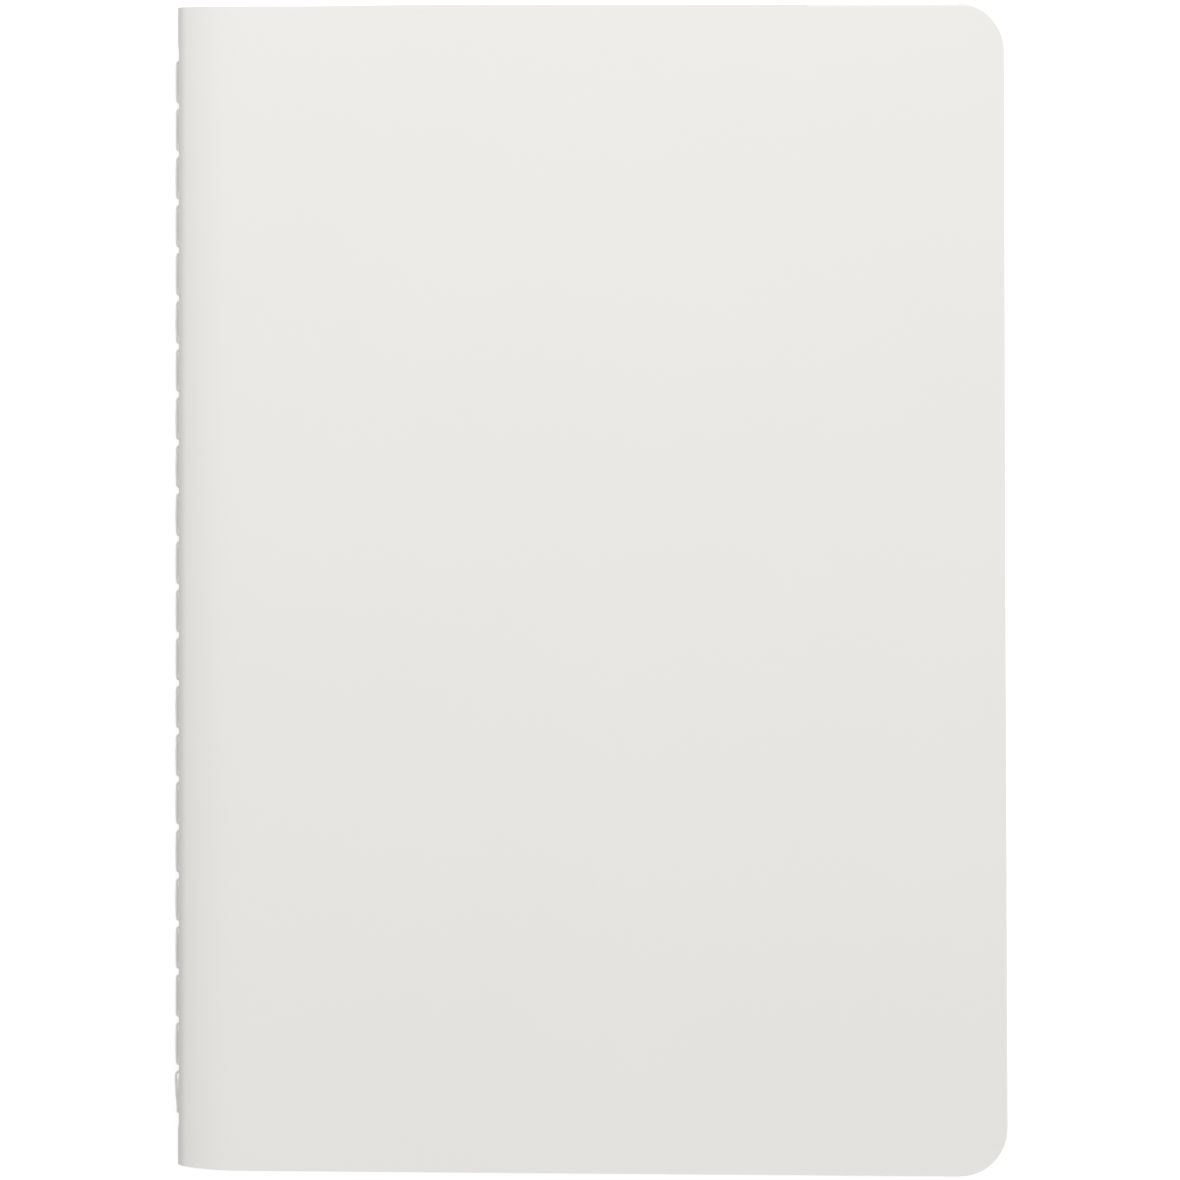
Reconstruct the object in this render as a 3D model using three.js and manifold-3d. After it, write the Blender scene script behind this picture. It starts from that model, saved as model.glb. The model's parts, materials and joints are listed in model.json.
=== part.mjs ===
// A thin A5 notebook of stone paper, closed and lying on its back cover.
// Folded sheets are nested in a cover and sewn through the fold with a lockstitch.
// Millimetres. +Y runs from tail to head, +X from spine to fore edge, +Z from back cover to front cover.

import * as THREE from 'three';
import { mergeVertices } from 'three/addons/utils/BufferGeometryUtils.js';
import Module from 'manifold-3d';

const wasm = await Module();
wasm.setup();

// Booklet
const bookHeight = 209.3;
const bookWidth = 148.7; // spine face to fore edge, stitches left out
const foreCornerRadius = 8.4;
const cornerSteps = 6;
const sheetCount = 16; // folded sheets, two leaves each

// Paper
const sheetThickness = 0.1;
const coverThickness = 0.25;
const leafGap = 0.03; // air between two flat leaves
const foldGap = 0.003; // air between two sheets pressed together round the fold
const spineGap = 0.02; // air between the outermost fold and the spine of the cover

// Sewing
const threadDiameter = 0.5;
const stitchCount = 22;
const stitchPitch = 8.64;
const headMargin = 8.9; // head of the booklet to the first needle hole
const holeClearance = 0.03; // above and below the thread in its hole
const strandGap = 0.2; // between the two strands that share a hole
const strandSideClearance = 0.1; // strand to the end of its slot
const threadSeat = 0.03; // air between a stitch and the paper that it lies on
const stitchRise = 0.06; // how much the middle of a stitch stands higher than its ends
const lockGap = 0.35; // between the needle thread and the bobbin thread inside a hole
const bobbinShare = 0.35; // part of the way through the spine where the two threads meet
const threadSides = 6;

// Fold and hinge
const innerFoldRadius = 0.15; // round the bobbin thread, inside the centre fold
const foldFacets = 5; // an odd number keeps one flat facet where the needle goes through
const slotEdge = 0.02; // flat paper above and below a needle hole in the centre fold
const coverLegLength = 0.6; // how far the spine of the cover reaches over the first leaf
const hingeGap = 0.08; // between what turns with the spine and the leaves

const facetAngle = Math.PI / (foldFacets + 1);
const facetTangent = Math.tan(facetAngle / 2);
const threadRadius = threadDiameter / 2;
const slotHalfHeight = threadRadius + holeClearance;
const strandOffset = threadRadius + strandGap / 2; // a strand from the middle of its hole
const slotLength = 2 * (strandOffset + threadRadius + strandSideClearance);
const stitchShoulder = threadRadius * (1 - Math.tan(Math.PI / 8)) + strandSideClearance / 2;

// The fold is a half round, widened by a flat stretch so that the thread fits between its legs.
const foldHalfFlat = slotHalfHeight + slotEdge - innerFoldRadius * facetTangent;
const spineInnerRadius = innerFoldRadius + sheetCount * (sheetThickness + foldGap) - foldGap + spineGap;
const spineOuterRadius = spineInnerRadius + coverThickness;
const coverInnerHeight = leafGap / 2 + sheetCount * (sheetThickness + leafGap);
const halfThickness = coverInnerHeight + coverThickness;

// Everything that turns with the spine stays inside this radius round the hinge line.
const coreReach = Math.max(
  Math.hypot(coverLegLength, halfThickness),
  Math.hypot(spineOuterRadius * facetTangent, foldHalfFlat + spineOuterRadius)
);
const leafStartRadius = coreReach + hingeGap;
const foreEdge = bookWidth - spineOuterRadius;
const stitchOuterFace = spineOuterRadius + threadSeat + threadDiameter + stitchRise;

const holePlaces = [];
for (let hole = 0; hole <= stitchCount; hole += 1) {
  holePlaces.push(bookHeight / 2 - headMargin - hole * stitchPitch);
}

const paperMaterial = new THREE.MeshStandardMaterial({ color: 0xf0efeb, roughness: 0.75, metalness: 0 });
const coverMaterial = new THREE.MeshStandardMaterial({ color: 0xe8e6e2, roughness: 0.65, metalness: 0 });
const threadMaterial = new THREE.MeshStandardMaterial({ color: 0xe9e7df, roughness: 0.85, metalness: 0 });

// How far a circle round the hinge line reaches towards the fore edge, at a height above that line.
function circleAt(radius, height) {
  return Math.sqrt(Math.max(radius * radius - height * height, 0));
}

// Corners of the faceted half round, from the upper leg round the spine to the lower leg.
function halfRound(radius) {
  const corners = [];
  const cornerRadius = radius / Math.cos(facetAngle / 2);
  for (let corner = 0; corner <= foldFacets; corner += 1) {
    const angle = Math.PI / 2 + facetAngle * (corner + 0.5);
    const centre = angle < Math.PI ? foldHalfFlat : -foldHalfFlat;
    corners.push(new THREE.Vector2(
      cornerRadius * Math.cos(angle),
      centre + cornerRadius * Math.sin(angle)
    ));
  }
  return corners;
}

// Section of a sheet round the fold: its two legs end on the circle that the leaves start from.
function foldSection(innerRadius, thickness, legInnerHeight) {
  const legOuterHeight = legInnerHeight + thickness;
  const outerTip = circleAt(coreReach, legOuterHeight);
  const innerTip = circleAt(coreReach, legInnerHeight);
  return new THREE.Shape([
    new THREE.Vector2(outerTip, legOuterHeight),
    ...halfRound(innerRadius + thickness),
    new THREE.Vector2(outerTip, -legOuterHeight),
    new THREE.Vector2(innerTip, -legInnerHeight),
    ...halfRound(innerRadius).reverse(),
    new THREE.Vector2(innerTip, legInnerHeight)
  ]);
}

// Extrudes an X-Z section over the whole height of the booklet.
function extrudeHeadToTail(section) {
  const geometry = new THREE.ExtrudeGeometry(section, { depth: bookHeight, bevelEnabled: false });
  geometry.rotateX(Math.PI / 2);
  geometry.translate(0, bookHeight / 2, 0);
  return geometry;
}

function toSolid(geometry) {
  const bare = geometry.clone();
  bare.deleteAttribute('normal');
  bare.deleteAttribute('uv');
  const merged = mergeVertices(bare);
  return new wasm.Manifold(new wasm.Mesh({
    numProp: 3,
    vertProperties: new Float32Array(merged.attributes.position.array),
    triVerts: new Uint32Array(merged.index.array)
  }));
}

function toGeometry(solid) {
  const mesh = solid.getMesh();
  const geometry = new THREE.BufferGeometry();
  geometry.setAttribute('position', new THREE.BufferAttribute(new Float32Array(mesh.vertProperties), 3));
  geometry.setIndex(new THREE.BufferAttribute(new Uint32Array(mesh.triVerts), 1));
  geometry.computeVertexNormals();
  return geometry;
}

// Cuts a slot for the thread at each needle hole, through the flat facet of a fold.
function pierce(geometry) {
  let solid = toSolid(geometry);
  const slotDepth = stitchOuterFace;
  for (const place of holePlaces) {
    const slot = new THREE.BoxGeometry(slotDepth, slotLength, 2 * slotHalfHeight);
    slot.translate(-slotDepth / 2, place, 0);
    solid = solid.subtract(toSolid(slot));
  }
  return toGeometry(solid);
}

// A leaf or cover panel: square at the spine, rounded at the two fore-edge corners.
function panel(innerEdge, thickness) {
  const outline = new THREE.Shape();
  const halfHeight = bookHeight / 2;
  const cornerX = foreEdge - foreCornerRadius;
  const cornerY = halfHeight - foreCornerRadius;
  outline.moveTo(innerEdge, -halfHeight);
  outline.lineTo(cornerX, -halfHeight);
  outline.absarc(cornerX, -cornerY, foreCornerRadius, -Math.PI / 2, 0, false);
  outline.absarc(cornerX, cornerY, foreCornerRadius, 0, Math.PI / 2, false);
  outline.lineTo(innerEdge, halfHeight);
  return new THREE.ExtrudeGeometry(outline, {
    depth: thickness,
    bevelEnabled: false,
    curveSegments: cornerSteps
  });
}

// Leans the edge of a cover panel at the spine, so that it follows the circle of the hinge.
// The panel still lies flat at height 0 here, with its outer face up.
function leanInnerEdge(geometry, innerEdge, leaningEdge) {
  const position = geometry.attributes.position;
  for (let i = 0; i < position.count; i += 1) {
    if (Math.abs(position.getX(i) - innerEdge) < hingeGap / 2 && position.getZ(i) > coverThickness / 2) {
      position.setX(i, leaningEdge);
    }
  }
  geometry.computeVertexNormals();
  return geometry;
}

// A closed tube along points in the X-Y plane, mitred at each corner.
function flatTube(points) {
  const positions = [];
  const indices = [];
  const last = points.length - 1;
  points.forEach((point, i) => {
    const arriving = point.clone().sub(points[Math.max(i - 1, 0)]).normalize();
    const leaving = points[Math.min(i + 1, last)].clone().sub(point).normalize();
    const along = arriving.clone().add(leaving).normalize();
    const stretch = 1 / along.dot(i < last ? leaving : arriving);
    for (let side = 0; side < threadSides; side += 1) {
      const angle = 2 * Math.PI * (side + 0.5) / threadSides;
      const across = threadRadius * Math.cos(angle) * stretch;
      positions.push(
        point.x - along.y * across,
        point.y + along.x * across,
        threadRadius * Math.sin(angle)
      );
    }
  });
  for (let ring = 0; ring < last; ring += 1) {
    for (let side = 0; side < threadSides; side += 1) {
      const here = ring * threadSides + side;
      const next = ring * threadSides + (side + 1) % threadSides;
      indices.push(here, next, here + threadSides);
      indices.push(next, next + threadSides, here + threadSides);
    }
  }
  for (let side = 1; side < threadSides - 1; side += 1) {
    indices.push(0, side + 1, side);
    indices.push(last * threadSides, last * threadSides + side, last * threadSides + side + 1);
  }
  const geometry = new THREE.BufferGeometry();
  geometry.setAttribute('position', new THREE.Float32BufferAttribute(positions, 3));
  geometry.setIndex(indices);
  geometry.computeVertexNormals();
  return geometry;
}

// Path of one thread: along the paper from hole to hole, dipping into each hole and out again.
function stitchPath(runX, middleX, dipX) {
  const points = [];
  const shoulderX = runX + Math.sign(dipX - runX) * stitchShoulder;
  for (let stitch = 0; stitch < stitchCount; stitch += 1) {
    const from = holePlaces[stitch] - strandOffset;
    const to = holePlaces[stitch + 1] + strandOffset;
    points.push(new THREE.Vector2(dipX, from));
    points.push(new THREE.Vector2(shoulderX, from));
    points.push(new THREE.Vector2(runX, from - stitchShoulder));
    points.push(new THREE.Vector2(middleX, (from + to) / 2));
    points.push(new THREE.Vector2(runX, to + stitchShoulder));
    points.push(new THREE.Vector2(shoulderX, to));
    points.push(new THREE.Vector2(dipX, to));
  }
  return points;
}

function addPiece(group, name, geometry, material, height) {
  const piece = new THREE.Mesh(geometry, material);
  piece.name = name;
  piece.position.z = height;
  group.add(piece);
}

function numbered(word, number) {
  return `${word}_${String(number).padStart(2, '0')}`;
}

function addSheets(group) {
  for (let sheet = 1; sheet <= sheetCount; sheet += 1) {
    const inside = sheetCount - sheet; // sheets nested inside this one
    const foldRadius = innerFoldRadius + inside * (sheetThickness + foldGap);
    const leafHeight = leafGap / 2 + inside * (sheetThickness + leafGap);
    const innerEdge = circleAt(leafStartRadius, leafHeight);
    const section = foldSection(foldRadius, sheetThickness, leafHeight);
    const leaf = panel(innerEdge, sheetThickness);
    addPiece(group, numbered('fold', sheet), pierce(extrudeHeadToTail(section)), paperMaterial, 0);
    addPiece(group, numbered('leaf', sheet), leaf, paperMaterial, leafHeight);
    addPiece(
      group,
      numbered('leaf', 2 * sheetCount + 1 - sheet),
      leaf.clone(),
      paperMaterial,
      -leafHeight - sheetThickness
    );
  }
}

function addCover(group) {
  const section = foldSection(spineInnerRadius, coverThickness, coverInnerHeight);
  addPiece(group, 'spine_cover', pierce(extrudeHeadToTail(section)), coverMaterial, 0);
  const innerEdge = circleAt(leafStartRadius, coverInnerHeight);
  const outerEdge = circleAt(leafStartRadius, halfThickness);
  const front = leanInnerEdge(panel(innerEdge, coverThickness), innerEdge, outerEdge);
  const back = front.clone().rotateX(Math.PI);
  addPiece(group, 'front_cover', front, coverMaterial, coverInnerHeight);
  addPiece(group, 'back_cover', back, coverMaterial, -coverInnerHeight);
}

function addSewing(group) {
  const spineWall = spineOuterRadius - innerFoldRadius;
  const lockX = -innerFoldRadius - bobbinShare * spineWall;
  const needleDip = lockX - lockGap / 2 - threadRadius;
  const bobbinDip = lockX + lockGap / 2 + threadRadius;
  const needleRun = -spineOuterRadius - threadSeat - threadRadius;
  const bobbinRun = -innerFoldRadius + threadSeat + threadRadius;
  const needlePath = stitchPath(needleRun, needleRun - stitchRise, needleDip);
  const bobbinPath = stitchPath(bobbinRun, bobbinRun, bobbinDip).reverse();
  addPiece(group, 'needle_thread', flatTube(needlePath), threadMaterial, 0);
  addPiece(group, 'bobbin_thread', flatTube(bobbinPath), threadMaterial, 0);
}

// The booklet is built round its hinge line, the middle of the centre fold, then stood on the table.
const notebook = new THREE.Group();
notebook.position.set((stitchOuterFace - foreEdge) / 2, 0, halfThickness);
addCover(notebook);
addSheets(notebook);
addSewing(notebook);

export default notebook;
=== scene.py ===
import json
import math
import random

import bmesh
import bpy
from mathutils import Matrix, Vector


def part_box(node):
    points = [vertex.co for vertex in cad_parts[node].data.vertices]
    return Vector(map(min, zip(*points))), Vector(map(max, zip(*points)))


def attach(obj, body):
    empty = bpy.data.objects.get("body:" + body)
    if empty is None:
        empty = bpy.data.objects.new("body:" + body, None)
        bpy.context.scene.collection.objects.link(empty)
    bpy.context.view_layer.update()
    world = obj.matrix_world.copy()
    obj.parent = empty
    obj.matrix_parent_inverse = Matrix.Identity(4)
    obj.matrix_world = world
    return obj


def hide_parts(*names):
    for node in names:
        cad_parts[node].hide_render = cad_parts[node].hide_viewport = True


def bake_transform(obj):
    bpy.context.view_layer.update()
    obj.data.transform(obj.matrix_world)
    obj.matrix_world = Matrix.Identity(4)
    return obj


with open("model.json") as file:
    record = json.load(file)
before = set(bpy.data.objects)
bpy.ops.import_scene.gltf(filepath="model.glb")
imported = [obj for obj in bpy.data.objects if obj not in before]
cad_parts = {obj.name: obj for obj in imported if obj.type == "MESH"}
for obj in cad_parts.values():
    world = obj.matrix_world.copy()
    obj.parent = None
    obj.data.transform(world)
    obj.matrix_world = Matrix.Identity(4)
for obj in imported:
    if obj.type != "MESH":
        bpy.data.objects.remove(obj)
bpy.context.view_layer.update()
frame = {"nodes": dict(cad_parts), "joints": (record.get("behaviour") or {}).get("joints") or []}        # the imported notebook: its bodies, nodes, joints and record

# Everything is in metres; a size that a maker would give in millimetres is a number times mm.
mm = 0.001
joints = {joint["name"]: joint for joint in frame["joints"]}
hinge = Vector(joints["leaf_01_turn"]["pos_m"])  # the sewn fold, half way up the spine
crease = Vector(joints["front_cover_turn"]["pos_m"])
coverLow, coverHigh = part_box("front_cover")
head = coverHigh.y
tail = coverLow.y
foreEdge = coverHigh.x
chance = random.Random(7)
pickSlack = 0.05 * mm        # how far past an edge its corners are still picked
mergeDistance = 0.001 * mm   # corners closer together than this are one


# Small steps that every piece is modelled with

def near(a, b, within=0.01 * mm):
    return abs(a - b) < within


def evenlyBetween(start, end, count):
    return [start + (end - start) * (i + 1) / (count + 1) for i in range(count)]


def takeUp(piece):
    bpy.ops.object.select_all(action="DESELECT")
    piece.select_set(True)
    bpy.context.view_layer.objects.active = piece


def copyOf(pattern, name):
    takeUp(pattern)
    bpy.ops.object.duplicate()
    piece = bpy.context.object
    piece.name = name
    piece.data.name = name
    return piece


def pick(piece, wanted, kind="VERT"):
    # wanted gets the place of a corner, the two places of an edge's ends, or the middle of a face
    bpy.ops.mesh.select_mode(type=kind)
    bpy.ops.mesh.select_all(action="DESELECT")
    mesh = bmesh.from_edit_mesh(piece.data)
    if kind == "VERT":
        found = [corner for corner in mesh.verts if wanted(corner.co)]
    elif kind == "EDGE":
        found = [edge for edge in mesh.edges if wanted(edge.verts[0].co) and wanted(edge.verts[1].co)]
    else:
        found = [face for face in mesh.faces if wanted(face.calc_center_median())]
    for part in found:
        part.select_set(True)
    mesh.select_flush_mode()
    bmesh.update_edit_mesh(piece.data)


def cutAcross(places, normal):
    for place in places:
        bpy.ops.mesh.select_all(action="SELECT")
        bpy.ops.mesh.bisect(plane_co=place, plane_no=normal)


def applyModifier(piece, kind, **settings):
    modifier = piece.modifiers.new(kind.lower(), kind)
    for setting, value in settings.items():
        setattr(modifier, setting, value)
    takeUp(piece)
    bpy.ops.object.modifier_apply(modifier=modifier.name)


def giveThickness(piece, thickness, **settings):
    # the outer face stays where it is and the wall grows inwards
    applyModifier(piece, "SOLIDIFY", thickness=thickness, offset=-1, use_even_offset=True, **settings)


def smooth(piece, angle=35):
    takeUp(piece)
    bpy.ops.object.shade_smooth_by_angle(angle=math.radians(angle))


def dress(piece, material, slot, *nodes):
    piece.data.materials.clear()
    piece.data.materials.append(material)
    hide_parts(*nodes)


# Materials

def addNode(tree, kind, place, **settings):
    node = tree.nodes.new(kind)
    node.location = (place[0] * 220, place[1] * 220)
    for setting, value in settings.items():
        setattr(node, setting, value)
    return node


def mixColours(tree, place, factor, first, second):
    mix = addNode(tree, "ShaderNodeMix", place, data_type="RGBA")
    for socket, value in ((mix.inputs[0], factor), (mix.inputs[6], first), (mix.inputs[7], second)):
        if isinstance(value, bpy.types.NodeSocket):
            tree.links.new(value, socket)
        else:
            socket.default_value = value
    return mix.outputs[2]


def makeMineralGrain():
    # cloudy tone, a fine tooth and sparse dark flecks, as ground stone bound into a sheet has
    group = bpy.data.node_groups.new("mineralGrain", "ShaderNodeTree")
    entries = (("Tooth Scale", 4000), ("Cloud Scale", 40), ("Fleck Scale", 60), ("Fleck Size", 0.02))
    for name, value in entries:
        socket = group.interface.new_socket(name=name, in_out="INPUT", socket_type="NodeSocketFloat")
        socket.default_value = value
    for name in ("Tooth", "Cloud", "Fleck"):
        group.interface.new_socket(name=name, in_out="OUTPUT", socket_type="NodeSocketFloat")
    entry = addNode(group, "NodeGroupInput", (-4, 0))
    leave = addNode(group, "NodeGroupOutput", (3, 0))
    place = addNode(group, "ShaderNodeTexCoord", (-4, 2))
    tooth = addNode(group, "ShaderNodeTexNoise", (-2, 2))
    tooth.inputs["Detail"].default_value = 3
    cloud = addNode(group, "ShaderNodeTexNoise", (-2, 1))
    cloud.inputs["Detail"].default_value = 4
    cloud.inputs["Roughness"].default_value = 0.55
    cells = addNode(group, "ShaderNodeTexVoronoi", (-2, -1))
    for texture, scale in ((tooth, "Tooth Scale"), (cloud, "Cloud Scale"), (cells, "Fleck Scale")):
        group.links.new(place.outputs["Object"], texture.inputs["Vector"])
        group.links.new(entry.outputs[scale], texture.inputs["Scale"])
    # only the cells with a high random value hold a fleck, each of its own size
    chosen = addNode(group, "ShaderNodeMapRange", (-1, -1))
    chosen.inputs["From Min"].default_value = 0.75
    reach = addNode(group, "ShaderNodeMath", (0, -1), operation="MULTIPLY")
    inside = addNode(group, "ShaderNodeMath", (1, -1), operation="LESS_THAN")
    group.links.new(cells.outputs["Color"], chosen.inputs["Value"])
    group.links.new(chosen.outputs["Result"], reach.inputs[0])
    group.links.new(entry.outputs["Fleck Size"], reach.inputs[1])
    group.links.new(cells.outputs["Distance"], inside.inputs[0])
    group.links.new(reach.outputs["Value"], inside.inputs[1])
    group.links.new(tooth.outputs["Fac"], leave.inputs["Tooth"])
    group.links.new(cloud.outputs["Fac"], leave.inputs["Cloud"])
    group.links.new(inside.outputs["Value"], leave.inputs["Fleck"])
    return group


def stonePaper(name, look, grainGroup):
    material = bpy.data.materials.new(name)
    material.use_nodes = True
    tree = material.node_tree
    shader = tree.nodes["Principled BSDF"]
    grain = addNode(tree, "ShaderNodeGroup", (-4, 0), node_tree=grainGroup)
    grain.inputs["Tooth Scale"].default_value = look["toothScale"]
    grain.inputs["Cloud Scale"].default_value = look["cloudScale"]
    grain.inputs["Fleck Scale"].default_value = look["fleckScale"]
    grain.inputs["Fleck Size"].default_value = look["fleckSize"]
    tone = mixColours(tree, (-3, 1), grain.outputs["Cloud"], look["coolTone"], look["warmTone"])
    flecked = mixColours(tree, (-2, 1), grain.outputs["Fleck"], tone, look["fleckTone"])
    tree.links.new(flecked, shader.inputs["Base Color"])
    rough = addNode(tree, "ShaderNodeMapRange", (-2, 0))
    rough.inputs["To Min"].default_value = look["roughness"] - look["roughnessSpread"]
    rough.inputs["To Max"].default_value = look["roughness"] + look["roughnessSpread"]
    tree.links.new(grain.outputs["Tooth"], rough.inputs["Value"])
    tree.links.new(rough.outputs["Result"], shader.inputs["Roughness"])
    bump = addNode(tree, "ShaderNodeBump", (-2, -1))
    bump.inputs["Strength"].default_value = look["toothStrength"]
    bump.inputs["Distance"].default_value = look["toothDepth"]
    tree.links.new(grain.outputs["Tooth"], bump.inputs["Height"])
    tree.links.new(bump.outputs["Normal"], shader.inputs["Normal"])
    shader.inputs["Specular IOR Level"].default_value = look["gloss"]
    return material


def spunThread(name, look):
    material = bpy.data.materials.new(name)
    material.use_nodes = True
    tree = material.node_tree
    shader = tree.nodes["Principled BSDF"]
    place = addNode(tree, "ShaderNodeTexCoord", (-5, 0))
    fibre = addNode(tree, "ShaderNodeTexNoise", (-4, 0))
    fibre.inputs["Scale"].default_value = look["fibreScale"]
    fibre.inputs["Detail"].default_value = 4
    stretched = addNode(tree, "ShaderNodeMapping", (-4.8, 0))
    stretched.inputs["Scale"].default_value = look["fibreStretch"]
    tree.links.new(place.outputs["Object"], stretched.inputs["Vector"])
    tree.links.new(stretched.outputs["Vector"], fibre.inputs["Vector"])
    tree.links.new(mixColours(tree, (-2, 1), fibre.outputs["Fac"], look["shade"], look["light"]),
                   shader.inputs["Base Color"])
    bump = addNode(tree, "ShaderNodeBump", (-2, -1))
    bump.inputs["Strength"].default_value = look["fibreStrength"]
    bump.inputs["Distance"].default_value = look["fibreDepth"]
    tree.links.new(fibre.outputs["Fac"], bump.inputs["Height"])
    tree.links.new(bump.outputs["Normal"], shader.inputs["Normal"])
    shader.inputs["Roughness"].default_value = look["roughness"]
    shader.inputs["Sheen Weight"].default_value = look["sheen"]
    return material


coverLook = {
    "coolTone": (0.803, 0.795, 0.778, 1),
    "warmTone": (0.826, 0.812, 0.784, 1),
    "fleckTone": (0.66, 0.65, 0.62, 1),
    "toothScale": 5200,
    "cloudScale": 22,
    "fleckScale": 62,
    "fleckSize": 0.05,
    "roughness": 0.62,
    "roughnessSpread": 0.06,
    "toothStrength": 0.25,
    "toothDepth": 0.01 * mm,
    "gloss": 0.35,
}
pageLook = {
    "coolTone": (0.855, 0.855, 0.845, 1),
    "warmTone": (0.875, 0.865, 0.845, 1),
    "fleckTone": (0.78, 0.77, 0.75, 1),
    "toothScale": 7500,
    "cloudScale": 30,
    "fleckScale": 90,
    "fleckSize": 0.03,
    "roughness": 0.72,
    "roughnessSpread": 0.06,
    "toothStrength": 0.2,
    "toothDepth": 0.008 * mm,
    "gloss": 0.25,
}
threadLook = {
    "light": (0.98, 0.975, 0.96, 1),
    "shade": (0.93, 0.925, 0.91, 1),
    "fibreScale": 5000,
    "fibreStretch": (1, 0.25, 1),
    "fibreStrength": 0.5,
    "fibreDepth": 0.03 * mm,
    "roughness": 0.8,
    "sheen": 0.8,
}
mineralGrain = makeMineralGrain()
coverStock = stonePaper("coverStock", coverLook, mineralGrain)
pageStock = stonePaper("pageStock", pageLook, mineralGrain)
threadYarn = spunThread("threadYarn", threadLook)
print("materials ready")


# Needle holes: the needle thread's first and last turn say where the row starts and ends
needleHoles = {
    "count": 23,
    "threadToHole": 0.1 * mm,     # from the outermost side of the thread to the middle of its hole
    "rowStretch": 1.0056,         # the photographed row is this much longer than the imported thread's
    "rowDrop": 0.18 * mm,         # and sits this much nearer the tail
    "halfLength": 0.95 * mm,
    "halfHeight": 0.28 * mm,
    "rows": (0.95 * mm, 1.5 * mm, 2.3 * mm),
    "pucker": 0.2 * mm,           # how far the thread pulls the paper in at a hole
    "puckerReach": 2.2 * mm,
    "puckerShare": 0.8,           # of the fold's height, which limits the reach on the inner sheets
}
threadLow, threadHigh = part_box("needle_thread")
rowMiddle = (threadHigh.y + threadLow.y) / 2 - needleHoles["rowDrop"]
rowHalf = ((threadHigh.y - threadLow.y) / 2 + needleHoles["threadToHole"]) * needleHoles["rowStretch"]
firstHole = rowMiddle + rowHalf
lastHole = rowMiddle - rowHalf
holePitch = (firstHole - lastHole) / (needleHoles["count"] - 1)
holes = [firstHole - number * holePitch for number in range(needleHoles["count"])]


# Trimming: the spine is drawn in at the tail, and the head and the fore edge aren't quite square to it
trim = {
    "tailDraw": 1.05 * mm,
    "tailDrawReach": 5 * mm,
    "tailDrawEnd": 15 * mm,        # from the hinge line out, past which it is too small to see
    "rowMatch": 0.0002 * mm,       # rows of corners are told apart to this
    "foreSkew": math.radians(0.14),
    "headSkew": math.radians(-0.186),
    "headPivot": 28 * mm,          # where the slanting head is as far up as a square one
    "cornerRadius": 8.4 * mm,
    "cornerSteps": 12,
}
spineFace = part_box("spine_cover")[0].x


def tailDraw(x):
    return trim["tailDraw"] * math.exp(-(x - spineFace) / trim["tailDrawReach"])


def drawInTail(piece):
    rows = sorted({round(corner.co.x, 7) for corner in piece.data.vertices if near(corner.co.y, tail)})
    takeUp(piece)
    bpy.ops.object.mode_set(mode="EDIT")
    for row in rows:
        if row < hinge.x + trim["tailDrawEnd"]:
            pick(piece, lambda co: near(co.x, row, trim["rowMatch"]) and near(co.y, tail))
            bpy.ops.transform.translate(value=(0, tailDraw(row), 0))
    bpy.ops.object.mode_set(mode="OBJECT")


def turnPart(piece, wanted, angle, centre):
    # with no window open, transform.rotate turns clockwise
    takeUp(piece)
    bpy.ops.object.mode_set(mode="EDIT")
    pick(piece, wanted)
    bpy.ops.transform.rotate(value=-angle, orient_axis="Z", center_override=centre)
    bpy.ops.object.mode_set(mode="OBJECT")


def atForeEdge(co):
    return co.x > foreEdge - trim["cornerRadius"] - pickSlack


def skewHead(piece, reach):
    turnPart(piece, lambda co: co.y > head - reach - pickSlack, trim["headSkew"],
             (trim["headPivot"], head, 0))


# One flat panel with rounded fore-edge corners, copied for each leaf and for the cover
def makePanel(name, rows):
    width = foreEdge - hinge.x
    bpy.ops.object.select_all(action="DESELECT")
    bpy.ops.mesh.primitive_plane_add(size=1, location=(hinge.x + width / 2, 0, 0))
    piece = bpy.context.object
    piece.name = name
    piece.scale = (width, head - tail, 1)
    bpy.ops.object.transform_apply(location=True, rotation=True, scale=True)
    bpy.ops.object.mode_set(mode="EDIT")
    pick(piece, lambda co: near(co.x, foreEdge))
    bpy.ops.mesh.bevel(offset=trim["cornerRadius"], segments=trim["cornerSteps"], affect="VERTICES")
    cutAcross([(hinge.x + row, 0, 0) for row in rows], (1, 0, 0))
    bpy.ops.object.mode_set(mode="OBJECT")
    turnPart(piece, atForeEdge, trim["foreSkew"], (foreEdge, 0, 0))
    drawInTail(piece)
    skewHead(piece, trim["cornerRadius"])
    return piece


# Heights: flat over most of the panel, pressed down towards the fold where the thread pulls it together
fold = {
    "centreHeight": 0.355 * mm,    # outer face of the innermost sheet, above the hinge line
    "pressedPitch": 0.0855 * mm,   # from sheet to sheet under the thread's pull
    "pressedShare": 0.85,          # of a sheet's thickness that is left there
    "coverGap": 0.0075 * mm,
    "easeLength": 9 * mm,          # from the fold out to where the panel lies flat
    "easePower": 3,
    "bendLength": 9 * mm,          # a leaf bends over this length when the booklet opens
    "steps": 7,
    "coverSteps": 20,
    "bluntness": 3,                # 2 is an ellipse, and more is squarer
    "slopeStep": 0.1 * mm,
    "threadLength": 1.5 * mm,      # the bobbin thread holds the centre sheet open over this length
}
sheetCount = sum(1 for node in frame["nodes"] if node.startswith("fold_"))
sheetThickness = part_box("leaf_01")[1].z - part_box("leaf_01")[0].z
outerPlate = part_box("leaf_01")[1].z - hinge.z
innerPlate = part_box(f"leaf_{sheetCount:02d}")[1].z - hinge.z
coverThickness = coverHigh.z - coverLow.z


def foldHeight(sheet):
    return fold["centreHeight"] + (sheetCount - sheet) * fold["pressedPitch"]


coverFoldHeight = foldHeight(1) + fold["coverGap"] + coverThickness


def ease(row):
    # 1 at the fold, falling to 0 where the panel lies flat
    return max(0, 1 - row / fold["easeLength"]) ** fold["easePower"]


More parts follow.
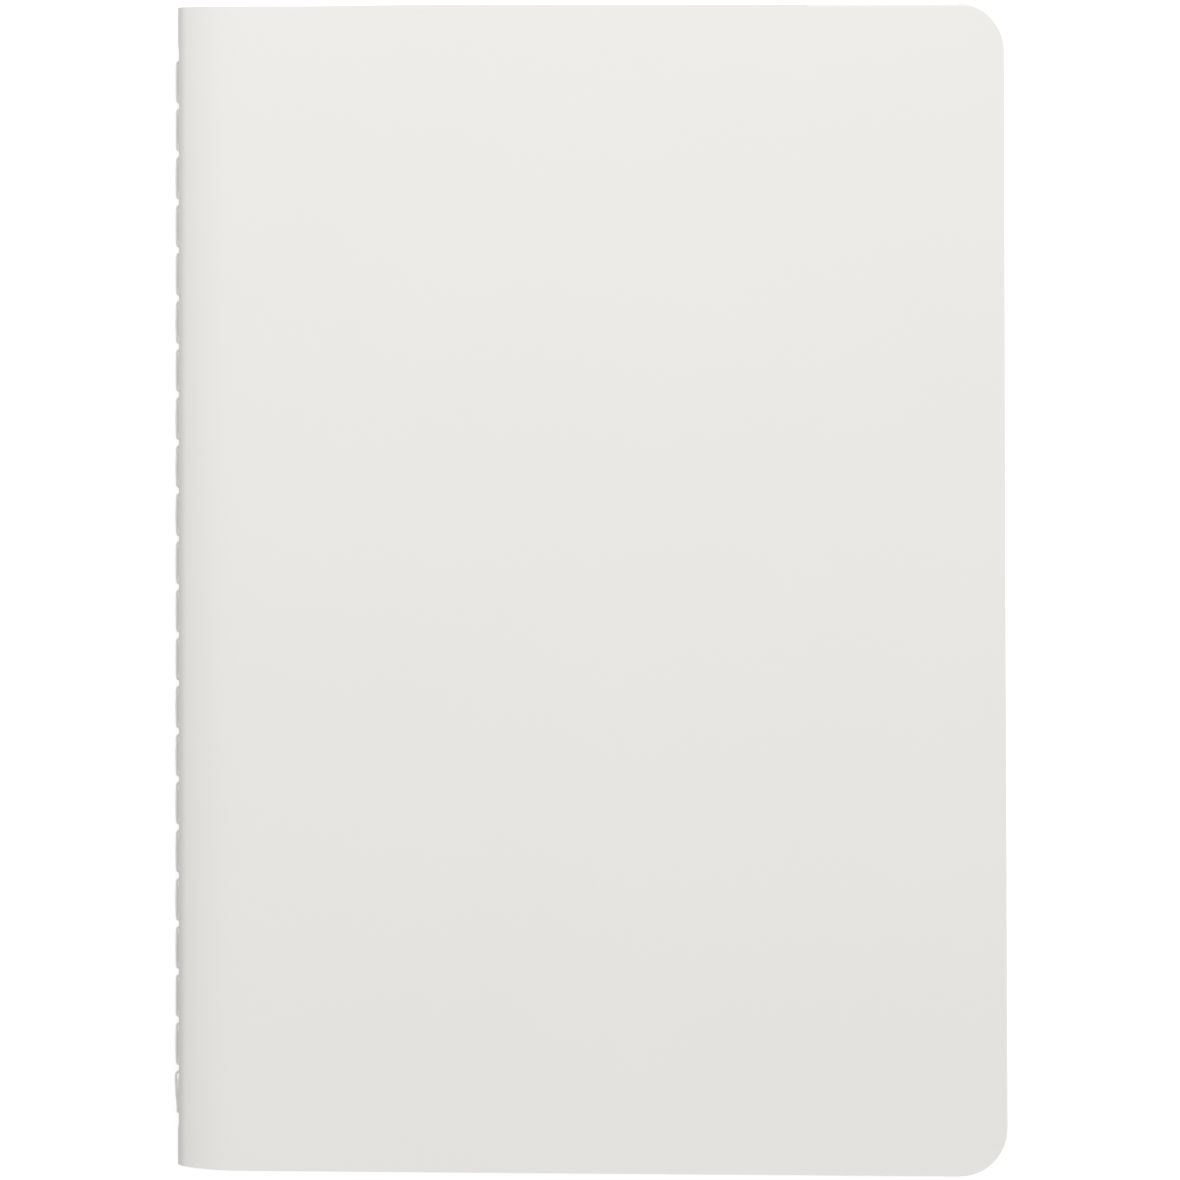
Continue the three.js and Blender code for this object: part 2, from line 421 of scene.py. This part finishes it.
def panelHeight(row, plateHeight, rootHeight):
    return plateHeight - (plateHeight - rootHeight) * ease(row)


def leafHeight(sheet, row):
    # the centre sheet closes up quickly beyond the bobbin thread, and the others share the room evenly
    closed = min(1, row / fold["threadLength"])
    innermost = innerPlate + (foldHeight(sheetCount) - innerPlate) * (1 - closed) ** 2
    outermost = panelHeight(row, outerPlate, foldHeight(1))
    return innermost + (outermost - innermost) * (sheetCount - sheet) / (sheetCount - 1)


def easeRows(piece, rows, heightAt, side):
    # side is 1 above the hinge line and -1 below it
    plateHeight = heightAt(fold["easeLength"])
    takeUp(piece)
    bpy.ops.object.mode_set(mode="EDIT")
    bpy.ops.mesh.select_all(action="SELECT")
    bpy.ops.transform.translate(value=(0, 0, hinge.z + side * plateHeight))
    for row in (0, *rows):
        if ease(row):
            pick(piece, lambda co: near(co.x, hinge.x + row))
            bpy.ops.transform.translate(value=(0, 0, side * (heightAt(row) - plateHeight)))
    bpy.ops.mesh.select_all(action="SELECT")
    if side < 0:
        bpy.ops.mesh.flip_normals()
    bpy.ops.object.mode_set(mode="OBJECT")


def pressRoot(piece):
    # the thread presses a leaf a little thinner towards the fold
    group = piece.vertex_groups.new(name="fullness")
    for corner in piece.data.vertices:
        group.add([corner.index], 1 - ease(corner.co.x - hinge.x), "REPLACE")
    giveThickness(piece, sheetThickness, vertex_group="fullness",
                  thickness_vertex_group=fold["pressedShare"])
    piece.vertex_groups.clear()


# A quarter of a fold: a flat strip with the needle holes, then a quarter turn up to the leaf
def makeHoleStrip():
    height = needleHoles["halfHeight"]
    bpy.ops.object.select_all(action="DESELECT")
    bpy.ops.mesh.primitive_plane_add(
        size=1, location=(hinge.x, firstHole, hinge.z + height / 2), rotation=(0, -math.pi / 2, 0))
    piece = bpy.context.object
    piece.name = "holeStrip"
    piece.scale = (height, holePitch, 1)
    bpy.ops.object.transform_apply(location=True, rotation=True, scale=True)
    bpy.ops.object.mode_set(mode="EDIT")
    for row in needleHoles["rows"]:
        cutAcross([(0, firstHole - row, 0), (0, firstHole + row, 0)], (0, 1, 0))
    # the face at the hole goes, but its top edge stays, because the fold runs on above the hole
    halfLength = needleHoles["halfLength"]
    pick(piece, lambda co: abs(co.y - firstHole) < halfLength, "FACE")
    bpy.ops.mesh.delete(type="ONLY_FACE")
    pick(piece, lambda co: near(co.z, hinge.z) and abs(co.y - firstHole) < halfLength + pickSlack, "EDGE")
    bpy.ops.mesh.delete(type="EDGE")
    bpy.ops.object.mode_set(mode="OBJECT")
    applyModifier(piece, "ARRAY", count=needleHoles["count"], use_relative_offset=False,
                  use_constant_offset=True, constant_offset_displace=(0, -holePitch, 0),
                  use_merge_vertices=True, merge_threshold=mergeDistance)
    bpy.ops.object.mode_set(mode="EDIT")
    for rowEnd, bookEnd in ((firstHole + holePitch / 2, head), (lastHole - holePitch / 2, tail)):
        pick(piece, lambda co: near(co.y, rowEnd), "EDGE")
        bpy.ops.mesh.extrude_region_move(TRANSFORM_OT_translate={"value": (0, bookEnd - rowEnd, 0)})
    bpy.ops.object.mode_set(mode="OBJECT")
    return piece


def atHole(co):
    return min(abs(co.y - hole) for hole in holes) < needleHoles["halfLength"] + pickSlack


def quarterPoint(share, reach, rise, slope):
    # out from the hinge line and up from the strip, for a share of the quarter turn
    out = reach * math.cos(share * math.pi / 2) ** (2 / fold["bluntness"])
    up = (rise - slope * out) * math.sin(share * math.pi / 2) ** (2 / fold["bluntness"])
    return out, up


def makeQuarter(name, reach, height, slope, steps):
    stripTop = hinge.z + needleHoles["halfHeight"]
    piece = copyOf(holeStrip, name)
    bpy.ops.object.mode_set(mode="EDIT")
    bpy.ops.mesh.select_all(action="SELECT")
    bpy.ops.transform.translate(value=(-reach, 0, 0))
    pick(piece, lambda co: near(co.z, stripTop), "EDGE")
    before = (reach, 0)
    for step in range(1, steps + 1):
        after = quarterPoint(step / steps, reach, height - needleHoles["halfHeight"], slope)
        bpy.ops.mesh.extrude_region_move(
            TRANSFORM_OT_translate={"value": (before[0] - after[0], 0, after[1] - before[1])})
        before = after
    pick(piece, lambda co: atHole(co) and co.z < stripTop + mergeDistance)
    puckerReach = min(needleHoles["puckerReach"], needleHoles["puckerShare"] * height)
    bpy.ops.transform.translate(value=(needleHoles["pucker"], 0, 0), use_proportional_edit=True,
                                proportional_edit_falloff="SMOOTH", proportional_size=puckerReach)
    bpy.ops.mesh.select_all(action="SELECT")
    bpy.ops.mesh.normals_make_consistent(inside=False)
    bpy.ops.object.mode_set(mode="OBJECT")
    drawInTail(piece)
    skewHead(piece, 0)
    return piece


def turnDown(upper, name):
    piece = copyOf(upper, name)
    bpy.ops.object.mode_set(mode="EDIT")
    bpy.ops.mesh.select_all(action="SELECT")
    bpy.ops.transform.resize(value=(1, 1, -1), center_override=tuple(hinge))
    bpy.ops.object.mode_set(mode="OBJECT")
    return piece


def faceOutwards(piece):
    outermost = min(piece.data.polygons, key=lambda face: face.center.x)
    if outermost.normal.x > 0:
        takeUp(piece)
        bpy.ops.object.mode_set(mode="EDIT")
        bpy.ops.mesh.select_all(action="SELECT")
        bpy.ops.mesh.flip_normals()
        bpy.ops.object.mode_set(mode="OBJECT")


def bendQuarters(lower, upper):
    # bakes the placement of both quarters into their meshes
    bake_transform(lower)
    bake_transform(upper)


def makeFold(name, reach, heightAt, thickness, steps, material, slot, node):
    height = heightAt(0)
    slope = (heightAt(fold["slopeStep"]) - height) / fold["slopeStep"]
    upper = makeQuarter(f"{name}_upper", reach, height, slope, steps)
    lower = turnDown(upper, f"{name}_lower")
    for piece in (upper, lower):
        faceOutwards(piece)
        giveThickness(piece, thickness)
        smooth(piece)
        dress(piece, material, slot, node)
    bendQuarters(lower, upper)


holeStrip = makeHoleStrip()
leafRows = [row * mm for row in (0.3, 0.6, 1.0, 1.5, 2.3, 3.4, 4.8, 6.6, 9.0)]
leafPanel = makePanel("leafPanel", leafRows)

# Leaves: 01 lies under the front cover; each sheet is an upper leaf, a fold and a lower leaf
pages = {
    "slip": math.radians(0.12),    # how far a leaf may lie turned from its neighbours
    "turned": 5,                   # the first leaves all lie turned by about that much
    "turnedLeast": 0.8,            # least share of the slip, for those leaves and for the others
    "looseLeast": -0.4,
}


def makeLeaf(number):
    node = f"leaf_{number:02d}"
    upper = number <= sheetCount
    sheet = number if upper else 2 * sheetCount + 1 - number
    piece = copyOf(leafPanel, f"paper_{node}")
    least = pages["turnedLeast"] if number <= pages["turned"] else pages["looseLeast"]
    slip = chance.uniform(least, 1) * pages["slip"]
    turnPart(piece, atForeEdge, slip, tuple(hinge))
    easeRows(piece, leafRows, lambda row: leafHeight(sheet, row), 1 if upper else -1)
    pressRoot(piece)
    smooth(piece)
    dress(piece, pageStock, "page", node)
    if upper:
        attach(piece, node)
    else:
        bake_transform(piece)


for number in range(1, 2 * sheetCount + 1):
    makeLeaf(number)
print("leaves ready")

for sheet in range(1, sheetCount + 1):
    makeFold(f"paper_fold_{sheet:02d}", hinge.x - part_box(f"fold_{sheet:02d}")[0].x,
             lambda row: leafHeight(sheet, row), sheetThickness * fold["pressedShare"], fold["steps"],
             pageStock, "page", f"fold_{sheet:02d}")
print("folds ready")


# Cover: one wrap of thicker stone paper, creased beside the spine so that the front opens alone
cover = {
    "creaseHalf": 0.75 * mm,
    "creaseSteps": 12,
    "easeRows": (2.2 * mm, 3.0 * mm, 3.8 * mm, 4.6 * mm, 5.6 * mm, 6.6 * mm, 7.8 * mm, 9 * mm),
    "columns": 6,
    "lines": 8,
    "edgeRound": 0.04 * mm,
    "edgeAngle": 1,                # radians; only the cut edges are sharper
    "headBand": 0.5 * mm,          # what lies this close to the head is part of its edge
    "nickStart": 39.3 * mm,        # from here to the corner the front's head edge is cut further in
    "nickRun": 0.2 * mm,           # the step in is this long
    "nickDepth": 0.36 * mm,
    "nickFade": 4.5 * mm,
    # the cut isn't quite straight: how much further out it runs at each column
    "headLifts": (0, 0.2 * mm, 0.12 * mm, 0.03 * mm, 0, 0),
}
creaseStart = crease.x - hinge.x - cover["creaseHalf"]
coverRows = [creaseStart + step * 2 * cover["creaseHalf"] / cover["creaseSteps"]
             for step in range(cover["creaseSteps"] + 1)]
coverRows += cover["easeRows"]
coverPanel = makePanel("coverPanel", coverRows)
coverColumns = evenlyBetween(hinge.x, foreEdge, cover["columns"])
coverLines = evenlyBetween(tail, head, cover["lines"])


def roundEdges(piece):
    # the cut edges only, not the root that runs on into the spine
    takeUp(piece)
    bpy.ops.object.mode_set(mode="EDIT")
    bpy.ops.mesh.select_mode(type="EDGE")
    bpy.ops.mesh.select_all(action="DESELECT")
    mesh = bmesh.from_edit_mesh(piece.data)
    for edge in mesh.edges:
        atRoot = all(corner.co.x < hinge.x + pickSlack for corner in edge.verts)
        if edge.is_manifold and edge.calc_face_angle() > cover["edgeAngle"] and not atRoot:
            edge.select_set(True)
    mesh.select_flush_mode()
    bmesh.update_edit_mesh(piece.data)
    bpy.ops.mesh.bevel(offset=cover["edgeRound"], segments=2, affect="EDGES")
    bpy.ops.object.mode_set(mode="OBJECT")


def cutHeadIn(piece):
    takeUp(piece)
    bpy.ops.object.mode_set(mode="EDIT")
    start = cover["nickStart"]
    stepMiddle = start + cover["nickRun"] / 2
    cornerStart = foreEdge - trim["cornerRadius"] + cover["nickRun"] / 2
    edgeBand = head - cover["headBand"]
    cutAcross([(start, 0, 0), (start + cover["nickRun"], 0, 0)], (1, 0, 0))
    for column, lift in zip(coverColumns, cover["headLifts"]):
        pick(piece, lambda co: co.y > edgeBand and near(co.x, column))
        bpy.ops.transform.translate(value=(0, lift, 0))
    # what is hidden stays put while the rest of the head edge moves in
    pick(piece, lambda co: co.x < stepMiddle)
    bpy.ops.mesh.hide()
    pick(piece, lambda co: co.y > edgeBand and start < co.x < cornerStart)
    bpy.ops.transform.translate(value=(0, -cover["nickDepth"], 0), use_proportional_edit=True,
                                proportional_edit_falloff="SMOOTH", proportional_size=cover["nickFade"])
    bpy.ops.mesh.reveal()
    bpy.ops.object.mode_set(mode="OBJECT")


def makeCoverPanel(name, plateHeight, side):
    piece = copyOf(coverPanel, name)
    bpy.ops.object.mode_set(mode="EDIT")
    cutAcross([(column, 0, 0) for column in coverColumns], (1, 0, 0))
    cutAcross([(0, line, 0) for line in coverLines], (0, 1, 0))
    bpy.ops.object.mode_set(mode="OBJECT")
    if side > 0:
        cutHeadIn(piece)
    easeRows(piece, coverRows, lambda row: panelHeight(row, plateHeight, coverFoldHeight), side)
    giveThickness(piece, coverThickness)
    roundEdges(piece)
    smooth(piece)
    applyModifier(piece, "WEIGHTED_NORMAL", mode="FACE_AREA", weight=100, keep_sharp=True)
    return piece


coverFront = makeCoverPanel("cover_front", coverHigh.z - hinge.z, 1)
dress(coverFront, coverStock, "cover", "front_cover")
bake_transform(coverFront)
coverBack = makeCoverPanel("cover_back", hinge.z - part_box("back_cover")[0].z, -1)
dress(coverBack, coverStock, "cover", "back_cover")
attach(coverBack, "back_cover")
makeFold("cover_spine", hinge.x - spineFace,
         lambda row: panelHeight(row, coverHigh.z - hinge.z, coverFoldHeight), coverThickness,
         fold["coverSteps"], coverStock, "cover", "spine_cover")
print("cover ready")


# Sewing: a needle thread outside the spine and a bobbin thread in the centre fold, three plies each
sewing = {
    "strandOffset": 0.68 * mm,     # from the middle of a hole to the strand that goes through it
    "shoulder": 0.45 * mm,
    "needleRun": 2.345 * mm,       # from the hinge line out to the middle of the thread
    "needleDip": 1.245 * mm,
    "bobbinRun": -0.13 * mm,
    "bobbinDip": 0.395 * mm,
    "bulge": 0.05 * mm,
    "bulgeSpread": 0.04 * mm,
    "sideSpread": 0.05 * mm,
    "lastLift": 0.16 * mm,         # the last stitch stands out and tapers to the end of its thread
    "plies": 3,
    "plyRadius": 0.148 * mm,
    "plyOffset": 0.104 * mm,
    "plyRoundness": 1,
    "twistLength": 1.3 * mm,
    "pointSpacing": 0.09 * mm,
    "roundings": 3,
}


def cutCorners(points, times):
    for _ in range(times):
        cut = [points[0]]
        for a, b in zip(points, points[1:]):
            cut += [a.lerp(b, 0.25), a.lerp(b, 0.75)]
        points = cut + [points[-1]]
    return points


def spaceEvenly(points, spacing):
    spaced = [points[0]]
    left = spacing
    for a, b in zip(points, points[1:]):
        length = (b - a).length
        done = 0
        while length - done > left:
            done += left
            spaced.append(a.lerp(b, done / length))
            left = spacing
        left -= length - done
    return spaced


def stitchPoints(run, dip, bulge, pucker):
    points = []
    stitches = len(holes) - 1
    for stitch in range(stitches):
        start = holes[stitch] - sewing["strandOffset"]
        end = holes[stitch + 1] + sewing["strandOffset"]
        out = bulge + chance.uniform(-1, 1) * (sewing["bulgeSpread"] if bulge else 0)
        aside = chance.uniform(-1, 1) * (sewing["sideSpread"] if bulge else 0)
        lift = sewing["lastLift"] if bulge and stitch == stitches - 1 else 0
        shoulder = run + math.copysign(sewing["shoulder"] / 3, dip - run)
        for reach, y, z in (
            (dip, start, 0),
            (shoulder, start, 0),
            (run - pucker / 2 + lift, start - sewing["shoulder"], aside / 2),
            (run + lift, start - 3 * sewing["shoulder"], aside),
            (run + out, (start + end) / 2, aside),
            (run - lift, end + 3 * sewing["shoulder"], aside),
            (run - pucker / 2 - lift, end + sewing["shoulder"], aside / 2),
            (shoulder, end, 0),
            (dip, end, 0),
        ):
            points.append(hinge + Vector((-reach, y, z)))
    return points


def makeThread(name, points, node):
    path = spaceEvenly(cutCorners(points, sewing["roundings"]), sewing["pointSpacing"])
    curve = bpy.data.curves.new(name, "CURVE")
    curve.dimensions = "3D"
    curve.bevel_depth = sewing["plyRadius"]
    curve.bevel_resolution = sewing["plyRoundness"]
    curve.use_fill_caps = True
    for ply in range(sewing["plies"]):
        spline = curve.splines.new("POLY")
        spline.points.add(len(path) - 1)
        for i, point in enumerate(path):
            along = (path[min(i + 1, len(path) - 1)] - path[max(i - 1, 0)]).normalized()
            across = along.cross(Vector((0, 0, 1))).normalized()
            turn = 2 * math.pi * (i * sewing["pointSpacing"] / sewing["twistLength"] + ply / sewing["plies"])
            place = point + sewing["plyOffset"] * (
                math.cos(turn) * across + math.sin(turn) * across.cross(along))
            spline.points[i].co = (*place, 1)
    piece = bpy.data.objects.new(name, curve)
    bpy.context.scene.collection.objects.link(piece)
    takeUp(piece)
    bpy.ops.object.convert(target="MESH")
    bpy.ops.object.mode_set(mode="EDIT")
    bpy.ops.mesh.select_all(action="SELECT")
    bpy.ops.mesh.remove_doubles(threshold=mergeDistance)
    bpy.ops.object.mode_set(mode="OBJECT")
    bpy.ops.object.shade_smooth()
    dress(piece, threadYarn, "thread", node)
    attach(piece, "spine")


makeThread("stitch_needle", stitchPoints(sewing["needleRun"], sewing["needleDip"], sewing["bulge"], 0),
           "needle_thread")
makeThread("stitch_bobbin", stitchPoints(sewing["bobbinRun"], sewing["bobbinDip"], 0, needleHoles["pucker"]),
           "bobbin_thread")
print("sewing ready")

for pattern in (holeStrip, leafPanel, coverPanel):
    takeUp(pattern)
    bpy.ops.object.delete()


# Floor, light and camera
studio = {
    "floorSize": 4,
    "floorDrop": 0.05 * mm,
    "floorTone": (0.5, 0.5, 0.5, 1),
    "floorLift": 0.72,
    "ambient": 0.447,
    "keyPlace": (0, 0.33, 0.44),
    "keySize": 0.5,
    "keyPower": 0.87,
    "sideTurn": (0, math.radians(66), math.radians(5)),     # a low, even light from the fore edge's side
    "sideSpread": math.radians(20),
    "sidePower": 2.3,
    "fillTurn": (0, math.radians(-70), 0),                 # a weak one from the spine's side
    "fillSpread": math.radians(30),
    "fillPower": 0.35,
}


def seenRays(tree, place):
    # 1 for what the camera sees directly, in a mirror or through glass
    path = addNode(tree, "ShaderNodeLightPath", place)
    first = addNode(tree, "ShaderNodeMath", (place[0] + 1, place[1]), operation="MAXIMUM")
    both = addNode(tree, "ShaderNodeMath", (place[0] + 2, place[1]), operation="MAXIMUM")
    tree.links.new(path.outputs["Is Camera Ray"], first.inputs[0])
    tree.links.new(path.outputs["Is Glossy Ray"], first.inputs[1])
    tree.links.new(first.outputs[0], both.inputs[0])
    tree.links.new(path.outputs["Is Transmission Ray"], both.inputs[1])
    return both.outputs[0]


def makeFloor():
    bpy.ops.object.select_all(action="DESELECT")
    bpy.ops.mesh.primitive_plane_add(size=studio["floorSize"], location=(0, 0, -studio["floorDrop"]))
    floor = bpy.context.object
    floor.name = "floor"
    material = bpy.data.materials.new("floorTone")
    material.use_nodes = True
    tree = material.node_tree
    tree.nodes.remove(tree.nodes["Principled BSDF"])
    out = tree.nodes["Material Output"]
    matt = addNode(tree, "ShaderNodeBsdfDiffuse", (-2, 1))
    matt.inputs["Color"].default_value = studio["floorTone"]
    glow = addNode(tree, "ShaderNodeEmission", (-2, -1))
    tree.links.new(seenRays(tree, (-6, -1)), glow.inputs["Strength"])
    glow.inputs["Color"].default_value = (studio["floorLift"],) * 3 + (1,)
    both = addNode(tree, "ShaderNodeAddShader", (-1, 0))
    tree.links.new(matt.outputs[0], both.inputs[0])
    tree.links.new(glow.outputs[0], both.inputs[1])
    tree.links.new(both.outputs[0], out.inputs["Surface"])
    floor.data.materials.append(material)


def makeWorld():
    world = bpy.data.worlds.new("studio")
    world.use_nodes = True
    bpy.context.scene.world = world
    tree = world.node_tree
    light = tree.nodes["Background"]
    strength = addNode(tree, "ShaderNodeMapRange", (-1, 0))
    strength.inputs["To Min"].default_value = studio["ambient"]
    strength.inputs["To Max"].default_value = 1
    tree.links.new(seenRays(tree, (-5, 0)), strength.inputs["Value"])
    tree.links.new(strength.outputs["Result"], light.inputs["Strength"])
    light.inputs["Color"].default_value = (1, 1, 1, 1)


def makeLamp(name, kind, power):
    lamp = bpy.data.lights.new(name, kind)
    lamp.energy = power
    holder = bpy.data.objects.new(name, lamp)
    bpy.context.scene.collection.objects.link(holder)
    return lamp, holder


def makeLights():
    lamp, holder = makeLamp("keyLight", "AREA", studio["keyPower"])
    lamp.shape = "DISK"
    lamp.size = studio["keySize"]
    holder.location = studio["keyPlace"]
    holder.rotation_euler = Vector(studio["keyPlace"]).to_track_quat("Z", "Y").to_euler()
    lamp, holder = makeLamp("sideLight", "SUN", studio["sidePower"])
    lamp.angle = studio["sideSpread"]
    holder.rotation_euler = studio["sideTurn"]
    lamp, holder = makeLamp("fillLight", "SUN", studio["fillPower"])
    lamp.angle = studio["fillSpread"]
    holder.rotation_euler = studio["fillTurn"]


makeFloor()
makeWorld()
makeLights()

view = {
    "aim": (0.245 * mm, -0.06 * mm, 0),
    "distance": 0.7,
    "tilt": (math.radians(0.083), math.radians(2.674), math.radians(-0.002)),
    "focalPixels": 3881.2,
    "picturePixels": 1180,
    "sensor": 36,
}
cameraData = bpy.data.cameras.new("camera")
cameraData.sensor_width = view["sensor"]
cameraData.lens = view["focalPixels"] / view["picturePixels"] * view["sensor"]
camera = bpy.data.objects.new("camera", cameraData)
bpy.context.scene.collection.objects.link(camera)
camera.rotation_euler = view["tilt"]
camera.location = Vector(view["aim"]) + camera.rotation_euler.to_matrix() @ Vector((0, 0, view["distance"]))
bpy.context.scene.camera = camera
bpy.context.scene.view_settings.view_transform = "Standard"
print("studio ready")
